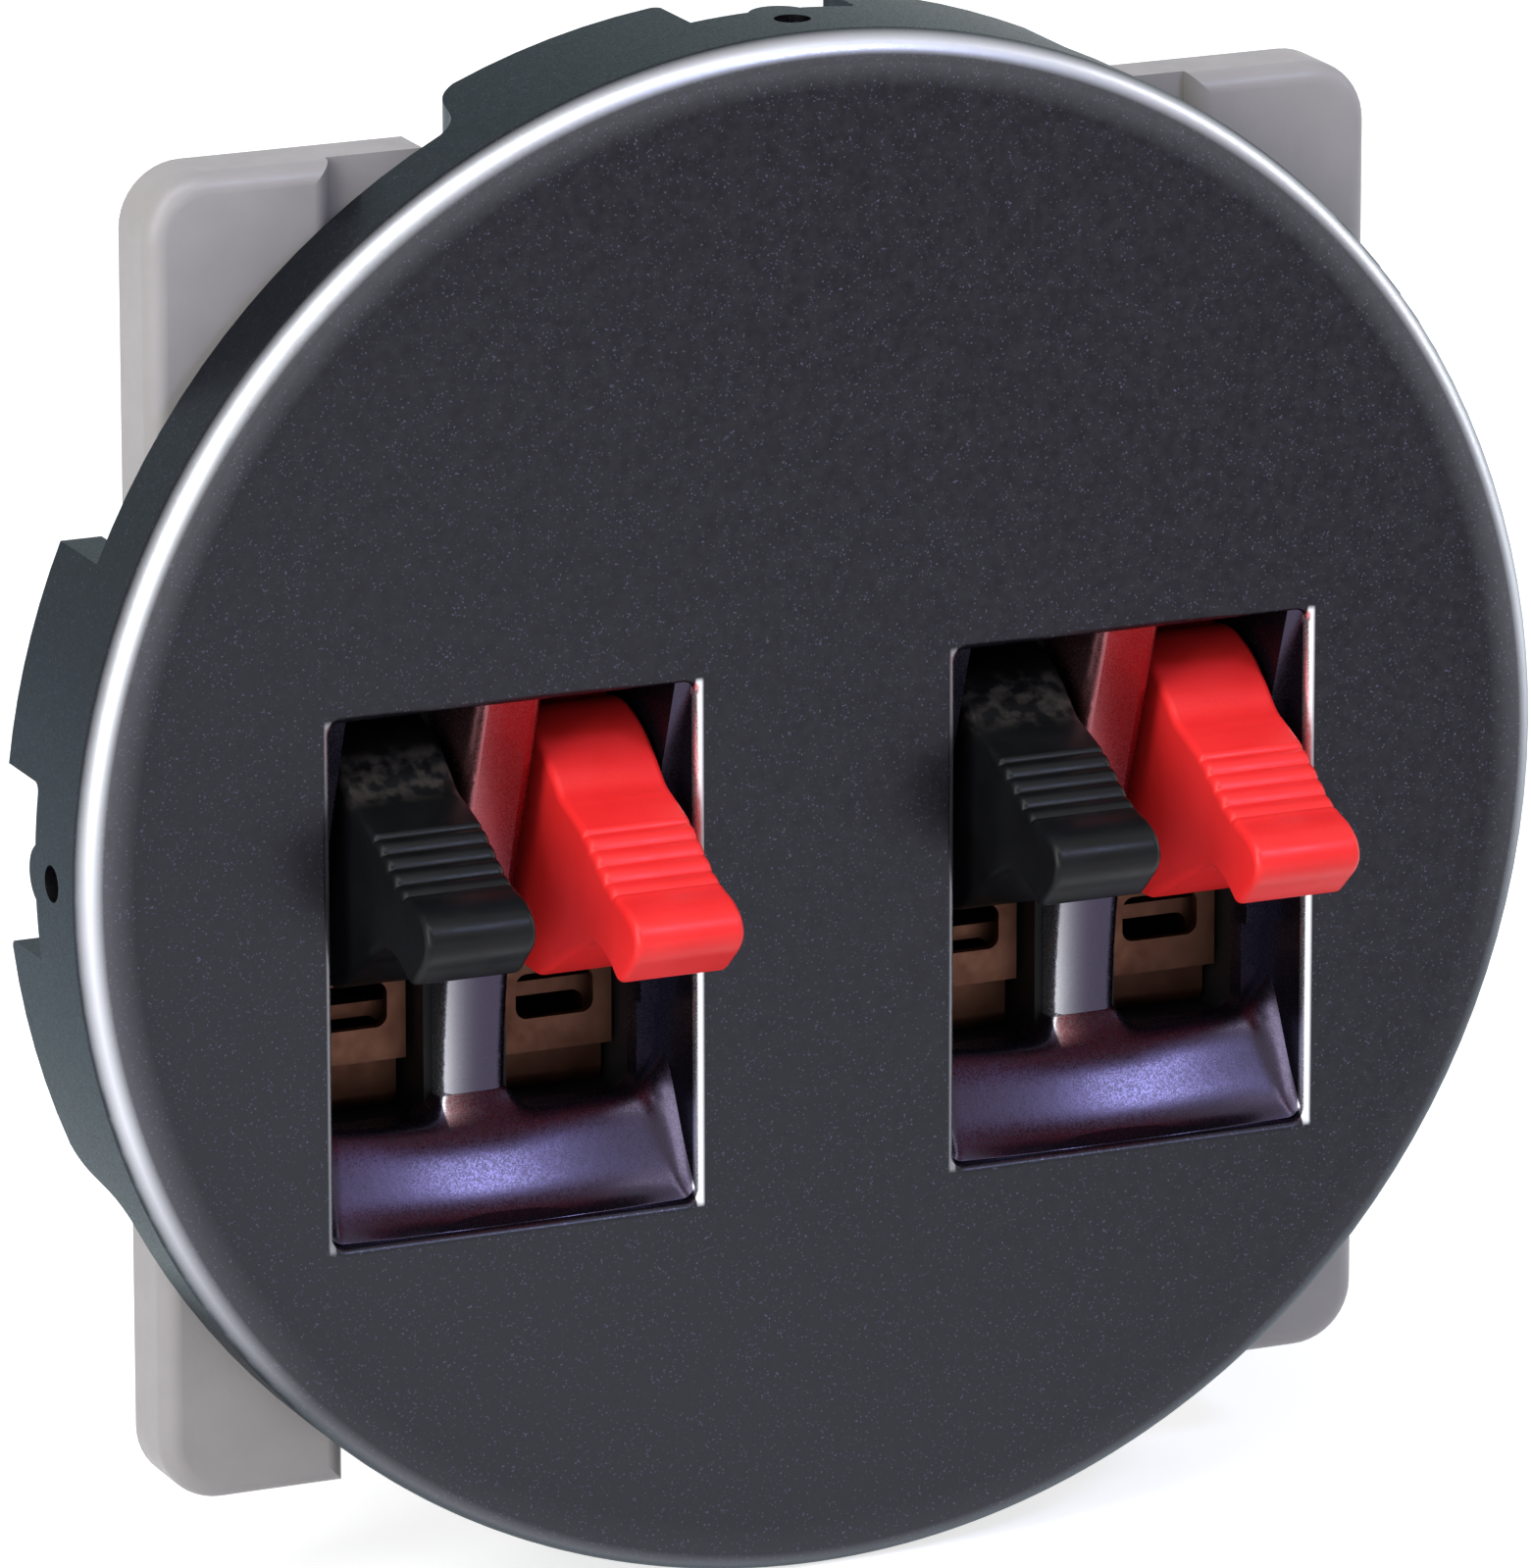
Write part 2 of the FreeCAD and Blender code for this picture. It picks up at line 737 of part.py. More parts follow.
def contact_strip(side, colour):
    # an upright with the wire slot, a floor leg and a solder lug behind the body
    centre = lever_centre(side, colour)
    half = strip_width / 2
    floor = box(centre - half, centre + half, strip_front, housing_back, bay_floor, strip_top)
    lug_half = lug_width / 2
    lug = box(centre - lug_half, centre + lug_half, housing_back - 1, lug_back, bay_floor, strip_top)
    lug = lug.makeFillet(lug_corner, edges_along(lug, Vec(0, 0, 1), lambda c: c.y > lug_back - 0.01))
    lug = lug.cut(rod_z(lug_hole_radius, bay_floor - 1, strip_top + 1, centre, lug_back - lug_hole_inset))
    back = strip_front + strip_thickness
    upright = box(centre - half, centre + half, strip_front, back, bay_floor, strip_upright_top)
    strip = floor.fuse([upright, lug]).removeSplitter()
    heel = edges_along(strip, Vec(1, 0, 0), lambda c: c.y < strip_front + 0.01 and c.z < bay_floor + 0.01)
    strip = strip.makeFillet(strip_thickness * 0.9, heel)
    strip = strip.cut(wire_slot(centre, strip_front, back, wire_slot_top))
    return strip.cut(rod_z(rivet_radius + seat_gap, bay_floor - 1, strip_top + 1, centre, rivet_depth))


def leaf_top(colour):
    return tilted_height(lever_bottom, leaf_front + leaf_thickness, rest_tilt(colour)) - leaf_gap


def leaf_spring(side, colour):
    # one folded leaf: floor leg, return bend, upper leg under the lever and wire tongue
    centre = lever_centre(side, colour)
    x0 = centre - strip_width / 2
    x1 = centre + strip_width / 2
    t = leaf_thickness
    low = strip_top
    high = leaf_top(colour)
    outer = (high - low) / 2
    bend = rod_x(outer, x0, x1, leaf_bend_depth, low + outer)
    bend = bend.cut(rod_x(outer - t, x0 - 1, x1 + 1, leaf_bend_depth, low + outer))
    bend = bend.common(box(x0, x1, leaf_bend_depth, leaf_bend_depth + outer + 1, low, high))
    foot = box(x0, x1, strip_front + strip_thickness + leaf_foot_gap, leaf_bend_depth, low, low + t)
    arm = box(x0, x1, leaf_front, leaf_bend_depth, high - t, high)
    slot_top = high - t - wire_slot_below_arm
    tongue = box(x0, x1, leaf_front, leaf_front + t, slot_top - wire_slot_height - tongue_rim, high)
    leaf = foot.fuse([bend, arm, tongue]).removeSplitter()
    outside = edges_along(leaf, Vec(1, 0, 0), lambda c: c.y < leaf_front + 0.01 and c.z > high - 0.01)
    leaf = leaf.makeFillet(leaf_corner + t, outside)
    corner = Vec(0, leaf_front + t, high - t)
    inside = edges_along(leaf, Vec(1, 0, 0), lambda c: corner.distanceToPoint(Vec(0, c.y, c.z)) < 0.01)
    leaf = leaf.makeFillet(leaf_corner, inside)
    leaf = leaf.cut(wire_slot(centre, leaf_front, leaf_front + t, slot_top))
    return leaf.cut(rod_z(rivet_radius + seat_gap, low - 1, low + t + 0.5, centre, rivet_depth))


def contact_rivet(side, colour):
    centre = lever_centre(side, colour)
    top = strip_top + leaf_thickness
    shank = rod_z(rivet_radius, bay_floor, top + 0.1, centre, rivet_depth)
    head = rod_z(rivet_head_radius, top, top + rivet_head_height, centre, rivet_depth)
    return shank.fuse(head).removeSplitter()


# Rear body and screws


def body_ears():
    ears = []
    back = body_seat + body_flange_thickness
    for x, z in body_screw_places().values():
        near = body_top - 1 if z > 0 else body_bottom + 1
        ears.append(rod_y(body_ear_radius, body_seat, back, x, z))
        r = body_ear_radius
        ears.append(box(x - r, x + r, body_seat, back, min(z, near), max(z, near)))
    return ears


def lug_fences():
    # short walls that keep the wires of neighbouring lugs apart
    fences = []
    low = body_bottom + body_edge_round
    half = fence_thickness / 2
    for x in (window_centre("left"), 0.0, window_centre("right")):
        fence = box(x - half, x + half, body_back - 0.5, body_back + fence_length, low, low + fence_height)
        corner = edges_along(fence, Vec(1, 0, 0), lambda c: c.y > body_back + 1)
        fences.append(fence.makeFillet(body_edge_round, corner))
    return fences


def rear_body():
    half = body_half_width
    tail = body_tail_half
    collar = box(-half, half, body_seat, body_seat + body_collar_length, body_bottom, body_top)
    collar = collar.makeFillet(body_edge_round, edges_along(collar, Vec(0, 1, 0)))
    block = box(-tail, tail, body_seat, body_back, body_bottom, body_top)
    long_edges = edges_along(block, Vec(0, 1, 0))
    back_edges = [edge for edge in block.Edges if edge.BoundBox.YMin > body_back - 0.01]
    block = block.makeFillet(body_edge_round, long_edges + back_edges)
    body = collar.fuse([block] + body_ears() + lug_fences())
    for side in sides:
        body = body.cut(housing_outline(side, housing_clearance, body_seat - 1, body_inner_back))
    inner = window_pitch / 2 - housing_half_width - housing_clearance - body_wall
    low = body_bottom + body_wall
    high = body_top - body_wall
    body = body.cut(box(-inner, inner, body_seat - 1, body_inner_back, low, high))
    slot = lug_width / 2 + lug_slot_clearance
    for side in sides:
        for colour in colours:
            x = lever_centre(side, colour)
            z0 = bay_floor - lug_slot_clearance
            z1 = strip_top + lug_slot_clearance
            body = body.cut(box(x - slot, x + slot, body_inner_back - 1, body_back + 1, z0, z1))
    for x, z in body_screw_places().values():
        back = body_seat + body_flange_thickness + 1
        body = body.cut(rod_y(body_screw_radius + 0.15, body_seat - 1, back, x, z))
    return body.removeSplitter()


def cap_screw(corner):
    across, up = corners[corner]
    x = across * cap_post_x
    z = up * cap_post_z
    seat = frame_back - screw_head_height
    shank = rod_y(cap_screw_radius, cap_plate + cap_screw_tip_gap, seat, x, z)
    head = rod_y(screw_head_radius, seat - seat_gap, frame_back - seat_gap, x, z)
    return slotted_head(shank.fuse(head).removeSplitter(), x, frame_back - seat_gap, z)


def body_screw(corner):
    x, z = body_screw_places()[corner]
    seat = body_seat + body_flange_thickness
    shank = rod_y(body_screw_radius, boss_hole_front + body_screw_tip_gap, seat + 0.1, x, z)
    head = rod_y(screw_head_radius, seat, seat + screw_head_height, x, z)
    return slotted_head(shank.fuse(head).removeSplitter(), x, seat + screw_head_height, z)


def save(name, shape):
    placed = shape.copy()
    placed.translate(Vec(0, -frame_back, 0))
    placed.exportStep("parts/" + name + ".step")


os.makedirs("parts", exist_ok=True)
save("front_cap", front_cap())
save("carrier_frame", carrier_frame())
save("rear_body", rear_body())
for side in sides:
    save(side + "_terminal_housing", terminal_housing(side))
    save(side + "_lever_pin", lever_pin(side))
    for colour in colours:
        place = side + "_" + colour + "_"
        save(place + "lever", lever(side, colour))
        save(place + "leaf_spring", leaf_spring(side, colour))
        save(place + "contact_strip", contact_strip(side, colour))
        save(place + "contact_rivet", contact_rivet(side, colour))
for corner in corners:
    save("cap_screw_" + corner, cap_screw(corner))
    save("body_screw_" + corner, body_screw(corner))
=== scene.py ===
import math

import bmesh
import bpy
from mathutils import Matrix, Vector
from mathutils.geometry import tessellate_polygon


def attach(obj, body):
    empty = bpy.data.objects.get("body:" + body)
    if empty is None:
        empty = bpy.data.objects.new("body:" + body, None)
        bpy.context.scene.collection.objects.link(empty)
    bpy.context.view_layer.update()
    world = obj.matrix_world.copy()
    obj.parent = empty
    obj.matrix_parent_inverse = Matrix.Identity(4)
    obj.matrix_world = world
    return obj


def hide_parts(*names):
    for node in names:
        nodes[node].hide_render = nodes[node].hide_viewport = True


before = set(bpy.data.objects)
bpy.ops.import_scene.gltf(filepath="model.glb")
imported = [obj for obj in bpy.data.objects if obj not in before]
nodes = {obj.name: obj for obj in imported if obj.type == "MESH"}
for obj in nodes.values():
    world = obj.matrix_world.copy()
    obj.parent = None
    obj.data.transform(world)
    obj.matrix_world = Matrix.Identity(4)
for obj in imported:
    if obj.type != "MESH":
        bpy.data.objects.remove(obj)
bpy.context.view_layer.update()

MM = 0.001

# Camera: where it stands and what it looks at, in millimetres
CAMERA_PLACE = (-212.665, -482.936, 148.435)
CAMERA_TARGET = (-2.71, -8.8, 1.59)
CAMERA_LENS = 309.1
CAMERA_ROLL = -0.07
CAMERA_SENSOR = 36.0
CAMERA_NEAR = 0.01
CAMERA_FAR = 20.0

# Floor, in millimetres, and the light that it and the white surroundings give
FLOOR_HEIGHT = -32.0
FLOOR_HALF = 4000.0
FLOOR_WHITE = (0.8, 0.8, 0.8, 1)
FLOOR_ROUGHNESS = 0.8
FLOOR_GLOW = 0.7
WORLD_FILL = 0.22
WORLD_WHITE = 1.0

# Lamps: name, place and size in metres, radiance and colour
LAMPS = (
    ("left_box", (-0.66, -0.36, 0.3), (0.4, 0.8), 5.2, (0.97, 0.99, 1.0)),
    ("front_fill", (-0.5, -0.75, 0.16), (0.5, 0.4), 1.4, (1, 1, 1)),
    ("top_box", (-0.2, -0.3, 0.8), (0.8, 0.3), 4.2, (0.95, 0.97, 1.0)),
    ("scoop_light", (0.24, -0.42, 0.42), (0.1, 0.1), 30.0, (0.55, 0.62, 1.0)),
    ("right_strip", (0.8, -0.05, 0.2), (0.1, 0.8), 6.0, (0.95, 0.95, 1.0)),
)

# Sizes shared with the solids, in millimetres; depths count from the cap face
FACE_DEPTH = 8.8
WINDOW_PITCH = 27.14
WINDOW_WIDTH = 15.77
WINDOW_BOTTOM = -15.59
WINDOW_TOP = 6.13
SHELF_FRONT = 4.4
SHELF_BACK = 5.4
SHELF_HEIGHT = -12.1
RIB_HALF = 1.45
LEVER_PITCH = 9.02
LEVER_WIDTH = 4.72
PIVOT = (16.0, 3.2)
HUB_RADIUS = 2.25
RED_TILT = 2.9

# Lever outline as (depth, height): thumb curve, nose and hollow chin, then heel and back
THUMB = (
    (6.2, 4.75), (5.2, 4.95), (4.2, 4.85), (2.87, 4.4), (1.63, 3.58), (0.64, 2.8), (-0.1, 2.52),
    (-0.85, 2.31), (-1.84, 1.95), (-3.08, 1.26), (-4.32, 0.54), (-5.2, 0.26), (-6.1, 0.08),
    (-6.65, -0.13), (-7.08, -0.42), (-7.33, -0.85), (-7.36, -1.3), (-7.1, -1.8), (-6.5, -2.4),
    (-6.0, -2.88), (-5.72, -3.1), (-5.42, -3.17), (-5.1, -3.02), (-4.7, -2.78), (-3.7, -2.44),
    (-3.1, -2.4), (-2.5, -2.58), (-1.4, -3.15), (0.0, -4.0), (1.2, -4.75), (2.1, -5.3),
    (2.9, -5.58), (4.6, -5.6),
)
HEEL = ((7.1, -5.6), (9.6, -5.6), (10.2, -5.0), (10.8, -4.4), (12.2, -0.7), (13.75, 3.2))
THUMB_STEP = 0.06
HEEL_STEPS = 8
HUB_TURNS = range(12, 271, 12)
TOP_STEPS = 20
LEAST_STEP = 0.01

# Ridges across the thumb curve and the rounding of the lever's side edges
RIDGE_FIRST = -1.95
RIDGE_COUNT = 5
RIDGE_PITCH = 0.74
RIDGE_DEPTH = 0.16
RIDGE_RISE = 0.05
RIDGE_LOWEST = -0.2
RIDGE_RUN_OUT = 0.3
RIDGE_SHARPNESS = 0.7
LEVER_ROUND = 0.32
ROUND_STEPS = 6

# Dished ramp of a window
SCOOP_START = 0.35
SCOOP_FRONT = 0.4
SCOOP_BACK_GAP = 0.02
SCOOP_LIFT = 0.03
SCOOP_THICKNESS = 0.25
BOWL_DEPTH = 1.25
BOWL_FADE = 0.8
WALL_FILLET_FRONT = 0.5
WALL_FILLET_GROWTH = 1.3
FOOT_FILLET = 1.2
FOOT_AHEAD = 0.1
FILLET_SHARE = 0.8
FILLET_POWER = 2.4
SCOOP_STEPS_ACROSS = 44
SCOOP_STEPS_DEEP = 48

# Cap paint: graphite with fine flakes, with a painted lighting gradient that makes it a little lighter
# towards the lower left
GROUND_DARK = (0.015, 0.0145, 0.018)
GROUND_LIGHT = (0.024, 0.023, 0.028)
# painted light: colour the face takes at its lower left
PAINTED_LIGHT_LOWER_LEFT = (0.031, 0.031, 0.037)
GROUND_SCALE = 2200.0
LIGHTING_GRADIENT_SLANT = 0.6
LIGHTING_GRADIENT_SPAN = (-28.0, 22.0)
FLAKE_COLOUR = (0.085, 0.08, 0.125)
FLAKE_SCALE = 16000.0
FLAKE_RARITY = 0.94
FLAKE_SHARE = 0.8
WINDOW_COLOUR = (0.046, 0.038, 0.062)
# painted reflection of the red lever on the ribs
RIB_PAINTED_RED_REFLECTION = (0.24, 0.034, 0.040)
# painted highlight of the window lips and the ribs' left sides
LIP_AND_RIB_PAINTED_HIGHLIGHT = (0.75, 0.75, 0.78)
# painted highlight of the cap's rim
RIM_PAINTED_HIGHLIGHT = (0.62, 0.63, 0.67)
CAP_METALLIC = 0.92
CAP_SPECULAR = 0.3
CAP_TINT = (0.5, 0.58, 0.6, 1)
CAP_ROUGHNESS = (0.30, 0.44)
WINDOW_SMOOTHER = 0.10
CAP_COAT = 0.06
CAP_COAT_ROUGHNESS = 0.12

# Where a highlight is painted on the rim of the cap, fading to the lower right where the rim lies in shade:
# radii, depths and heights in millimetres
RIM_LINE = (31.1, 31.6)
RIM_LINE_SHARE = 0.9
RIM_BAND = (29.8, 31.2)
RIM_BAND_SHARE = 0.1
RIM_FRONT = (-8.5, -7.8)
RIM_SLANT = 0.22
RIM_FADE = (-17.0, -3.0)
RIM_FADED = 0.14

# Where the windows are smooth, and where highlights are painted on their lips and ribs and a red reflection
# on the ribs, in millimetres
WINDOW_SOFT_END = 0.2
WINDOW_SOFT_SIDE = 0.3
WINDOW_DEEP = (-8.75, -8.6)
# where the highlight is painted on the window lips
LIP_INNER = (-0.08, 0.0)
LIP_OUTER = (0.18, 0.30)
LIP_DEPTH = (-8.4, -8.2)
LIP_TURN = (-1.0, 1.0)
LIP_LEFT_SHARE = 0.3
RIB_LEFT = (-1.52, -1.42)
RIB_RIGHT = (1.40, 1.50)
RIB_FOOT = (-12.3, -11.8)
# where the highlight is painted on the ribs' left sides
RIB_SHINE = (-1.4, 1.2)
RIB_SHINE_POWER = 4.5
RIB_SHINE_HEIGHT = (-10.0, -3.0)
RIB_SHINE_LOW = 0.75
RIB_SHINE_HIGH = 0.15
# heights over which the red reflection is painted on the ribs
RIB_RED_REFLECTION_HEIGHT = (-6.0, 1.0)

# Highlight painted on the black levers behind the ridges, where their bend faces the light, broken up by
# noise, in millimetres
LEVER_PAINTED_HIGHLIGHT = (0.035, 0.03, 0.026)
LEVER_HIGHLIGHT_BACK = (6.0, 6.8)
LEVER_HIGHLIGHT_FRONT = (8.2, 8.8)
LEVER_HIGHLIGHT_HEIGHT = (2.2, 3.0)
LEVER_HIGHLIGHT_BREAKUP = (0.44, 0.62)

# Grain of the surfaces
GRAIN_HEIGHT = 0.00001
PLASTIC_SPREAD = 0.05
METAL_SPREAD = 0.08


def add_to_scene(name, data):
    obj = bpy.data.objects.new(name, data)
    bpy.context.scene.collection.objects.link(obj)
    return obj


def camera():
    data = bpy.data.cameras.new("camera")
    data.lens = CAMERA_LENS
    data.sensor_width = CAMERA_SENSOR
    data.sensor_fit = "AUTO"
    data.clip_start = CAMERA_NEAR
    data.clip_end = CAMERA_FAR
    obj = add_to_scene("camera", data)
    place = Vector(CAMERA_PLACE) * MM
    look = (Vector(CAMERA_TARGET) * MM - place).to_track_quat("-Z", "Y").to_matrix().to_4x4()
    roll = Matrix.Rotation(math.radians(CAMERA_ROLL), 4, "Z")
    obj.location = place
    obj.rotation_euler = (look @ roll).to_euler()
    bpy.context.scene.camera = obj


def lamp(name, place, size, radiance, colour):
    data = bpy.data.lights.new(name, "AREA")
    data.shape = "RECTANGLE"
    data.size = size[0]
    data.size_y = size[1]
    data.energy = radiance * math.pi * size[0] * size[1]
    data.color = colour
    obj = add_to_scene(name, data)
    obj.location = place
    obj.rotation_euler = (-Vector(place)).to_track_quat("-Z", "Y").to_euler()


# Shader building blocks


def principled(name):
    mat = bpy.data.materials.new(name)
    mat.use_nodes = True
    return mat, mat.node_tree, mat.node_tree.nodes["Principled BSDF"]


def calculate(tree, operation, first, second=0.0):
    node = tree.nodes.new("ShaderNodeMath")
    node.operation = operation
    for socket, value in zip(node.inputs, (first, second)):
        if isinstance(value, (int, float)):
            socket.default_value = value
        else:
            tree.links.new(value, socket)
    return node.outputs[0]


def product(tree, *factors):
    result = factors[0]
    for factor in factors[1:]:
        result = calculate(tree, "MULTIPLY", result, factor)
    return result


def map_range(tree, value, span, to_low=0.0, to_high=1.0):
    node = tree.nodes.new("ShaderNodeMapRange")
    node.inputs["From Min"].default_value = span[0]
    node.inputs["From Max"].default_value = span[1]
    node.inputs["To Min"].default_value = to_low
    node.inputs["To Max"].default_value = to_high
    tree.links.new(value, node.inputs["Value"])
    return node.outputs["Result"]


def map_place(tree, value, span, to_low=0.0, to_high=1.0):
    # map_range of a coordinate, over a span in millimetres
    return map_range(tree, value, (span[0] * MM, span[1] * MM), to_low, to_high)


def background_rays(tree):
    # one for rays from the camera, from gloss and through glass, nought for the others
    path = tree.nodes.new("ShaderNodeLightPath")
    seen = calculate(tree, "MAXIMUM", path.outputs["Is Camera Ray"], path.outputs["Is Glossy Ray"])
    return calculate(tree, "MAXIMUM", seen, path.outputs["Is Transmission Ray"])


def object_coordinates(tree):
    return tree.nodes.new("ShaderNodeTexCoord").outputs["Object"]


def coordinates(tree):
    split = tree.nodes.new("ShaderNodeSeparateXYZ")
    tree.links.new(object_coordinates(tree), split.inputs[0])
    return split.outputs["X"], split.outputs["Y"], split.outputs["Z"]


def noise(tree, scale, detail=3.0):
    node = tree.nodes.new("ShaderNodeTexNoise")
    node.inputs["Scale"].default_value = scale
    node.inputs["Detail"].default_value = detail
    tree.links.new(object_coordinates(tree), node.inputs["Vector"])
    return node.outputs["Fac"]


def ramp(tree, value, stops):
    node = tree.nodes.new("ShaderNodeValToRGB")
    elements = node.color_ramp.elements
    for element, (position, colour) in zip(elements, stops):
        element.position = position
        element.color = (*colour, 1)
    tree.links.new(value, node.inputs["Fac"])
    return node.outputs["Color"]


def bump(tree, shader, height, strength):
    node = tree.nodes.new("ShaderNodeBump")
    node.inputs["Strength"].default_value = strength
    node.inputs["Distance"].default_value = GRAIN_HEIGHT
    tree.links.new(height, node.inputs["Height"])
    tree.links.new(node.outputs["Normal"], shader.inputs["Normal"])


def mix_colour(tree, amount, low, high):
    node = tree.nodes.new("ShaderNodeMix")
    node.data_type = "RGBA"
    tree.links.new(low, node.inputs[6])
    node.inputs[7].default_value = (*high, 1)
    tree.links.new(amount, node.inputs[0])
    return node.outputs[2]


def vary_roughness(tree, shader, scale, roughness, spread):
    uneven = map_range(tree, noise(tree, scale), (0.3, 0.7), roughness - spread, roughness + spread)
    tree.links.new(uneven, shader.inputs["Roughness"])


# Stage


def floor():
    mesh = bpy.data.meshes.new("floor")
    s = FLOOR_HALF * MM
    z = FLOOR_HEIGHT * MM
    mesh.from_pydata([(-s, -s, z), (s, -s, z), (s, s, z), (-s, s, z)], [], [(0, 1, 2, 3)])
    obj = add_to_scene("floor", mesh)
    mat, tree, shader = principled("floor_white")
    shader.inputs["Base Color"].default_value = FLOOR_WHITE
    shader.inputs["Roughness"].default_value = FLOOR_ROUGHNESS
    shader.inputs["Specular IOR Level"].default_value = 0.0
    shader.inputs["Emission Color"].default_value = (1, 1, 1, 1)
    glow = product(tree, background_rays(tree), FLOOR_GLOW)
    tree.links.new(glow, shader.inputs["Emission Strength"])
    mesh.materials.append(mat)


def surroundings():
    world = bpy.data.worlds.new("studio")
    bpy.context.scene.world = world
    world.use_nodes = True
    tree = world.node_tree
    back = tree.nodes["Background"]
    back.inputs["Color"].default_value = (1, 1, 1, 1)
    strength = map_range(tree, background_rays(tree), (0.0, 1.0), WORLD_FILL, WORLD_WHITE)
    tree.links.new(strength, back.inputs["Strength"])


# Finishes


def plastic(name, dark, light, roughness, specular):
    mat, tree, shader = principled(name)
    colour = ramp(tree, noise(tree, 350.0), ((0.35, dark), (0.65, light)))
    tree.links.new(colour, shader.inputs["Base Color"])
    vary_roughness(tree, shader, 900.0, roughness, PLASTIC_SPREAD)
    shader.inputs["Specular IOR Level"].default_value = specular
    bump(tree, shader, noise(tree, 6000.0), 0.5)
    return mat


def plastic_with_painted_highlight(name, dark, light, roughness, specular):
    # plastic with a painted highlight behind the ridges, where the lever's bend faces the light
    mat = plastic(name, dark, light, roughness, specular)
    tree = mat.node_tree
    base = tree.nodes["Principled BSDF"].inputs["Base Color"]
    _, y, z = coordinates(tree)
    ahead = calculate(tree, "ABSOLUTE", y)
    share = product(
        # share of the painted highlight, broken up by noise
        tree,
        map_place(tree, ahead, LEVER_HIGHLIGHT_BACK),
        map_place(tree, ahead, LEVER_HIGHLIGHT_FRONT, 1.0, 0.0),
        map_place(tree, z, LEVER_HIGHLIGHT_HEIGHT),
        map_range(tree, noise(tree, 1400.0, 8.0), LEVER_HIGHLIGHT_BREAKUP),
    )
    tree.links.new(mix_colour(tree, share, base.links[0].from_socket, LEVER_PAINTED_HIGHLIGHT), base)
    return mat


def metal(name, dark, light, roughness):
    mat, tree, shader = principled(name)
    colour = ramp(tree, noise(tree, 500.0, 6.0), ((0.3, dark), (0.7, light)))
    tree.links.new(colour, shader.inputs["Base Color"])
    vary_roughness(tree, shader, 1500.0, roughness, METAL_SPREAD)
    shader.inputs["Metallic"].default_value = 1.0
    bump(tree, shader, noise(tree, 4000.0), 0.3)
    return mat


def rim_highlight_share(tree, x, y, z):
    # share of painted highlight: one on the rounded front edge of the cap, nought on its face and its
    # skirt, less towards the lower right
    radius = calculate(tree, "SQRT", calculate(tree, "ADD", product(tree, x, x), product(tree, z, z)))
    line = map_place(tree, radius, RIM_LINE, 0.0, RIM_LINE_SHARE)
    band = map_place(tree, radius, RIM_BAND, 0.0, RIM_BAND_SHARE)
    front = map_place(tree, y, RIM_FRONT, 1.0, 0.0)
    height = calculate(tree, "SUBTRACT", z, product(tree, x, RIM_SLANT))
    fade = map_place(tree, height, RIM_FADE, RIM_FADED, 1.0)
    return product(tree, calculate(tree, "ADD", line, band), front, fade)


def lip_highlight_share(tree, beside, across, y, tall):
    # share of painted highlight: one on the rounded lips of a window's side walls, less on the left one
    half = WINDOW_WIDTH / 2
    return product(
        tree,
        map_place(tree, beside, (half + LIP_INNER[0], half + LIP_INNER[1])),
        map_place(tree, beside, (half + LIP_OUTER[0], half + LIP_OUTER[1]), 1.0, 0.0),
        map_place(tree, across, LIP_TURN, LIP_LEFT_SHARE, 1.0),
        map_place(tree, y, LIP_DEPTH, 1.0, 0.0),
        tall,
    )


def rib_shares(tree, across, z, inside):
    # how far a point lies under the highlight painted on the left side of a rib and under the red
    # reflection of the lever painted on its higher part
    rib = product(
        tree,
        map_place(tree, across, RIB_LEFT),
        map_place(tree, across, RIB_RIGHT, 1.0, 0.0),
        map_place(tree, z, RIB_FOOT),
        inside,
    )
    # painted highlight, strongest on the rib's left side
    rib_highlight = calculate(tree, "POWER", map_place(tree, across, RIB_SHINE, 1.0, 0.0), RIB_SHINE_POWER)
    lower = map_place(tree, z, RIB_SHINE_HEIGHT, RIB_SHINE_LOW, RIB_SHINE_HIGH)
    # part of the rib that takes the painted red reflection
    upper = map_place(tree, z, RIB_RED_REFLECTION_HEIGHT)
    return product(tree, rib, rib_highlight, lower), product(tree, rib, upper)


def window_shares(tree, x, y, z):
    # how far a point lies inside a window, under the highlight painted on its lips or rib, and under the
    # red reflection painted on the rib
    from_middle = calculate(tree, "SUBTRACT", calculate(tree, "ABSOLUTE", x), WINDOW_PITCH / 2 * MM)
    beside = calculate(tree, "ABSOLUTE", from_middle)
    across = product(tree, from_middle, calculate(tree, "SIGN", x))
    half = WINDOW_WIDTH / 2
    tall = product(
        tree,
        map_place(tree, z, (WINDOW_BOTTOM - WINDOW_SOFT_END, WINDOW_BOTTOM)),
        map_place(tree, z, (WINDOW_TOP, WINDOW_TOP + WINDOW_SOFT_END), 1.0, 0.0),
    )
    inside = product(
        tree,
        map_place(tree, beside, (half, half + WINDOW_SOFT_SIDE), 1.0, 0.0),
        tall,
        map_place(tree, y, WINDOW_DEEP),
    )
    # the rib's painted highlight and its painted red reflection
    rib_highlight, red = rib_shares(tree, across, z, inside)
    # painted highlight of the lips and the rib
    painted_highlight = calculate(tree, "MAXIMUM", lip_highlight_share(tree, beside, across, y, tall), rib_highlight)
    return inside, painted_highlight, red


